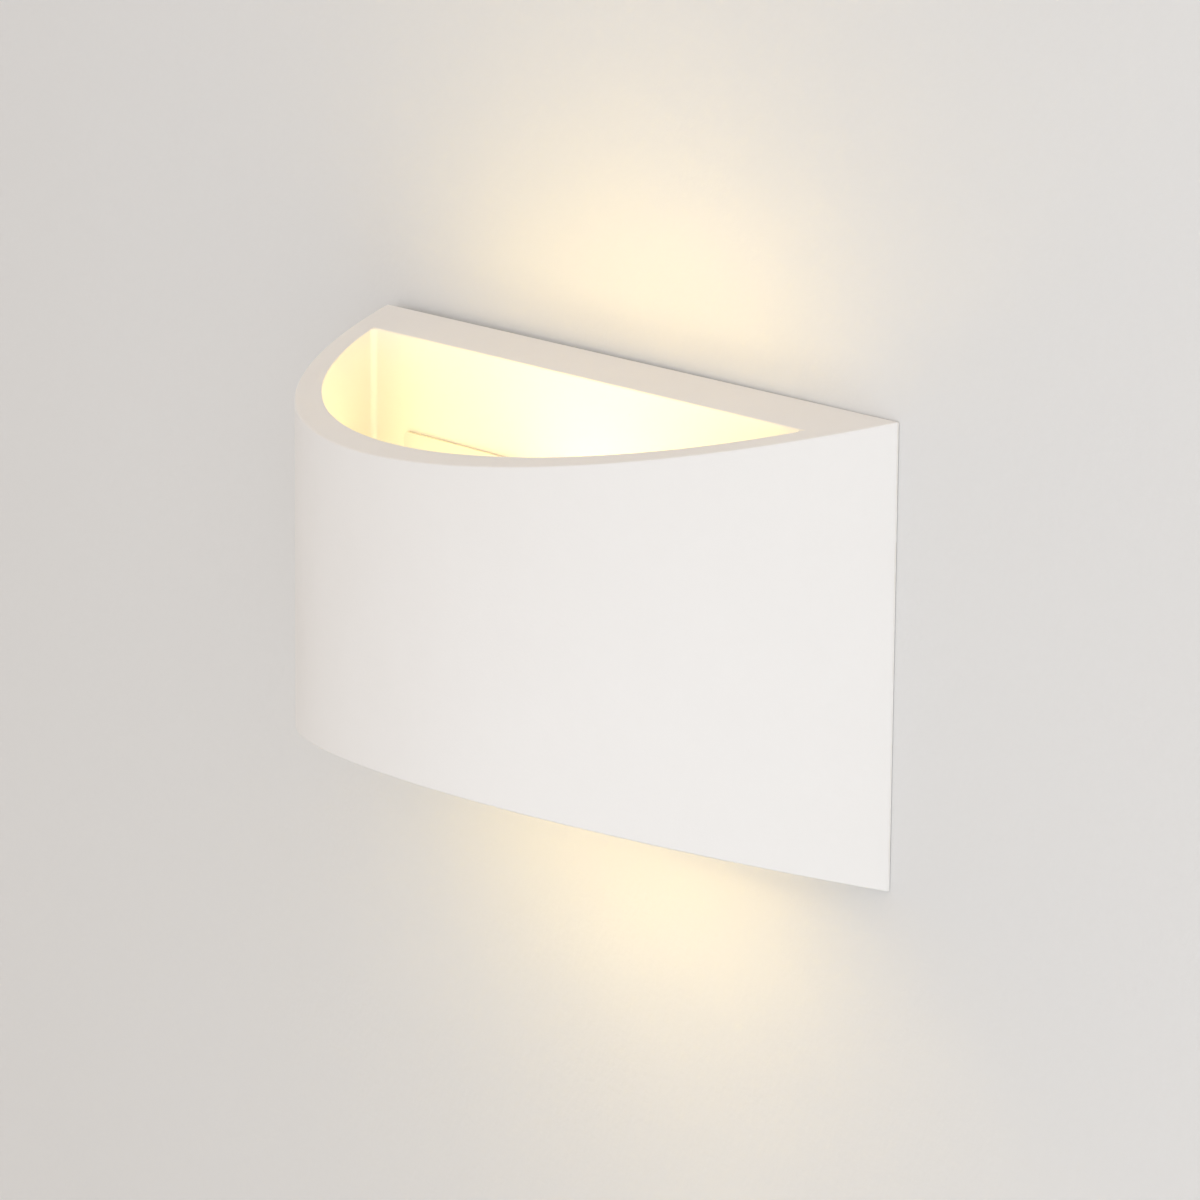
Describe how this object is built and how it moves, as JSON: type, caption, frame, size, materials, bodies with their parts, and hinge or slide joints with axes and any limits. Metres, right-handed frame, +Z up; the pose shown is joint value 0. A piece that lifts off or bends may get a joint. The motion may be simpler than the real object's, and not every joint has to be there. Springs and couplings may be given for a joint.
{
  "type": "wall sconce",
  "caption": "Up and down wall light: a white cast-plaster shell with a curved front, open at top and bottom, with a push-fit lamp inside.",
  "frame": {"origin": "middle of the flat back, on the wall", "axes": "+Y into the wall, +X to the right of someone facing the light, +Z up"},
  "size_m": [0.22, 0.0735, 0.107],
  "materials": {
    "plaster": "matte white cast plaster",
    "zinc_steel": "bright zinc plate",
    "white_steel": "white stoved enamel",
    "nickel": "satin nickel plate",
    "brass": "plain turned brass",
    "block_plastic": "natural polyamide",
    "grey_rubber": "moulded rubber",
    "ferrule_tin": "tinned copper",
    "live_sheath": "brown silicone sheath",
    "neutral_sheath": "blue silicone sheath",
    "earth_sheath": "green silicone sheath with a yellow stripe",
    "holder_ceramic": "unglazed steatite",
    "lamp_white": "moulded white plastic",
    "lamp_frosted": "frosted, lit warm white",
    "board_white": "white solder mask",
    "chip_yellow": "phosphor in a white frame"
  },
  "bodies": {
    "fitting": {"plaster_body": "plaster", "wall_bracket": "zinc_steel", "bracket_studs": "zinc_steel", "stud_washers": "zinc_steel", "cap_nuts": "nickel", "cover_plate": "white_steel", "cable_bush": "grey_rubber", "terminal_block": "block_plastic", "terminal_sleeves": "brass", "terminal_screws": "zinc_steel", "terminal_fixing_screws": "zinc_steel", "wire_ferrules": "ferrule_tin", "earth_washer": "zinc_steel", "earth_ring": "ferrule_tin", "earth_screw": "brass", "earth_wire": "earth_sheath", "live_wire": "live_sheath", "neutral_wire": "neutral_sheath", "wire_bushes": "grey_rubber", "lampholder_carrier": "zinc_steel", "carrier_rivets": "zinc_steel", "lampholder_body": "holder_ceramic", "lampholder_cap": "holder_ceramic", "lampholder_contacts": "ferrule_tin", "lampholder_screws": "zinc_steel"},
    "lamp": {"lamp_base": "lamp_white", "lamp_pins": "ferrule_tin", "lamp_cover": "lamp_frosted", "lamp_board": "board_white", "lamp_chips": "chip_yellow"}
  },
  "joints": [
    {"name": "lamp_pull", "type": "slide", "parent": "fitting", "child": "lamp", "axis": [1, 0, 0], "range_m": [0, 0.012]}
  ]
}
